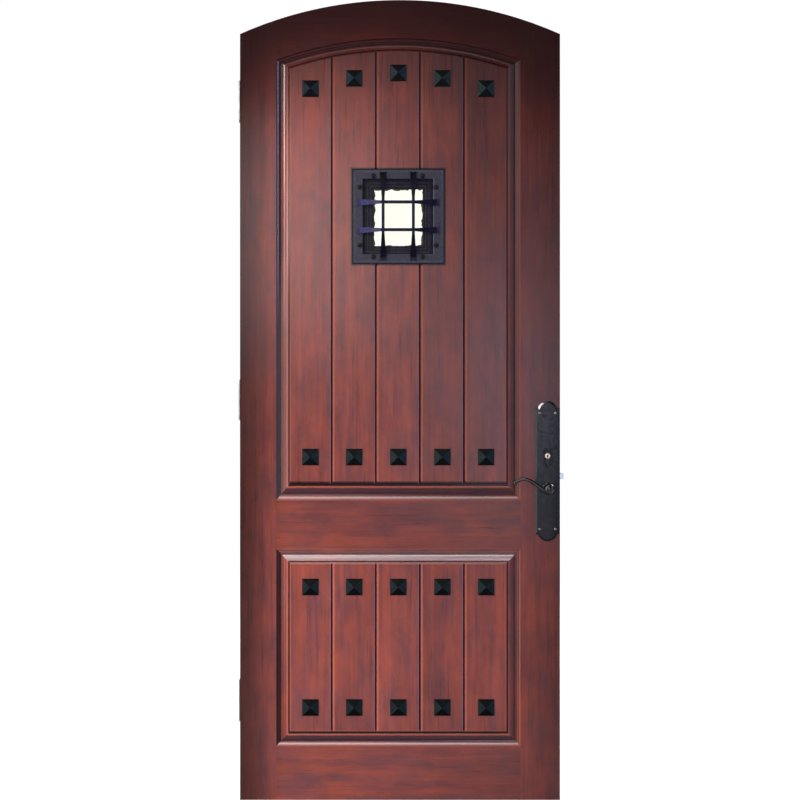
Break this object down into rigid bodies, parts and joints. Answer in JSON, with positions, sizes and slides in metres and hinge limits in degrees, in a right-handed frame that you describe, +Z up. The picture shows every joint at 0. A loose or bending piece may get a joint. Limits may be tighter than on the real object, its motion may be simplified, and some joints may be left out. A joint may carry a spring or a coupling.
{
  "type": "arched entrance door leaf",
  "caption": "Arched stained-wood entrance door leaf with V-grooved plank panels, square nail heads, a barred viewing hatch, a mortise lock with lever handles, and butt hinges.",
  "frame": {"origin": "middle of the leaf's bottom edge, half-way through its thickness", "axes": "+Z up along the leaf, +X towards the lock edge, -Y out of the outside face"},
  "size_m": [0.9337, 0.1656, 2.286],
  "materials": {
    "frame_wood": "stained and varnished",
    "panel_wood": "stained and varnished",
    "moulding_wood": "stained and varnished",
    "black_iron": "satin black",
    "hatch_iron": "satin",
    "glass": "clear",
    "dark_bronze": "glossy black",
    "screw_brass": "polished",
    "lock_steel": "brushed",
    "cylinder_nickel": "satin",
    "hinge_steel": "satin"
  },
  "bodies": {
    "jamb_side": {"hinge_jamb_leaves": "hinge_steel", "hinge_pins": "hinge_steel"},
    "leaf": {"hinge_stile": "frame_wood", "lock_stile": "frame_wood", "top_rail": "frame_wood", "lock_rail": "frame_wood", "bottom_rail": "frame_wood", "upper_plank_1": "panel_wood", "upper_plank_2": "panel_wood", "upper_plank_3": "panel_wood", "upper_plank_4": "panel_wood", "upper_plank_5": "panel_wood", "lower_plank_1": "panel_wood", "lower_plank_2": "panel_wood", "lower_plank_3": "panel_wood", "lower_plank_4": "panel_wood", "lower_plank_5": "panel_wood", "outside_moulding_upper_left": "moulding_wood", "outside_moulding_upper_right": "moulding_wood", "outside_moulding_upper_sill": "moulding_wood", "outside_moulding_upper_head": "moulding_wood", "outside_moulding_lower_left": "moulding_wood", "outside_moulding_lower_right": "moulding_wood", "outside_moulding_lower_sill": "moulding_wood", "outside_moulding_lower_head": "moulding_wood", "inside_moulding_upper_left": "moulding_wood", "inside_moulding_upper_right": "moulding_wood", "inside_moulding_upper_sill": "moulding_wood", "inside_moulding_upper_head": "moulding_wood", "inside_moulding_lower_left": "moulding_wood", "inside_moulding_lower_right": "moulding_wood", "inside_moulding_lower_sill": "moulding_wood", "inside_moulding_lower_head": "moulding_wood", "square_nails": "black_iron", "grille_plate": "hatch_iron", "grille_bar_left": "hatch_iron", "grille_bar_right": "hatch_iron", "grille_bar_upper": "hatch_iron", "grille_bar_lower": "hatch_iron", "grille_rivets": "hatch_iron", "hatch_back_frame": "hatch_iron", "sash_pins": "hatch_iron", "outside_plate": "dark_bronze", "inside_plate": "dark_bronze", "plate_screws": "screw_brass", "lock_case": "lock_steel", "lock_faceplate": "lock_steel", "lock_cylinder": "cylinder_nickel", "hinge_door_leaves": "hinge_steel", "edge_screws": "hinge_steel"},
    "levers": {"outside_lever": "dark_bronze", "inside_lever": "dark_bronze", "spindle": "lock_steel"},
    "latch": {"latch_bolt": "lock_steel"},
    "key_turn": {"key_plug": "lock_steel", "thumb_turn": "dark_bronze"},
    "bolt": {"dead_bolt": "lock_steel"},
    "sash": {"sash_frame": "hatch_iron", "sash_glass": "glass", "sash_knob": "hatch_iron"}
  },
  "joints": [
    {"name": "door_swing", "type": "hinge", "parent": "jamb_side", "child": "leaf", "pos_m": [-0.458, 0.02902, 0], "axis": [0, 0, 1], "range_deg": [0, 180]},
    {"name": "lever_turn", "type": "hinge", "parent": "leaf", "child": "levers", "pos_m": [0.4212, 0, 0.8915], "axis": [0, -1, 0], "range_deg": [0, 40], "stiffness_Nm_per_rad": 1.5, "springref_deg": -17.19},
    {"name": "latch_slide", "type": "slide", "parent": "leaf", "child": "latch", "axis": [-1, 0, 0], "range_m": [0, 0.012]},
    {"name": "key_rotation", "type": "hinge", "parent": "leaf", "child": "key_turn", "pos_m": [0.4212, 0, 0.9835], "axis": [0, 1, 0], "range_deg": [0, 90]},
    {"name": "bolt_slide", "type": "slide", "parent": "leaf", "child": "bolt", "axis": [1, 0, 0], "range_m": [0, 0.02]},
    {"name": "sash_swing", "type": "hinge", "parent": "leaf", "child": "sash", "pos_m": [-0.11, 0.0295, 1.6675], "axis": [0, 0, 1], "range_deg": [0, 105]}
  ],
  "couplings": [
    {"joint": "latch_slide", "follows": "lever_turn", "m_per_rad": 0.01718},
    {"joint": "key_rotation", "follows": "bolt_slide", "rad_per_m": 78.53}
  ]
}
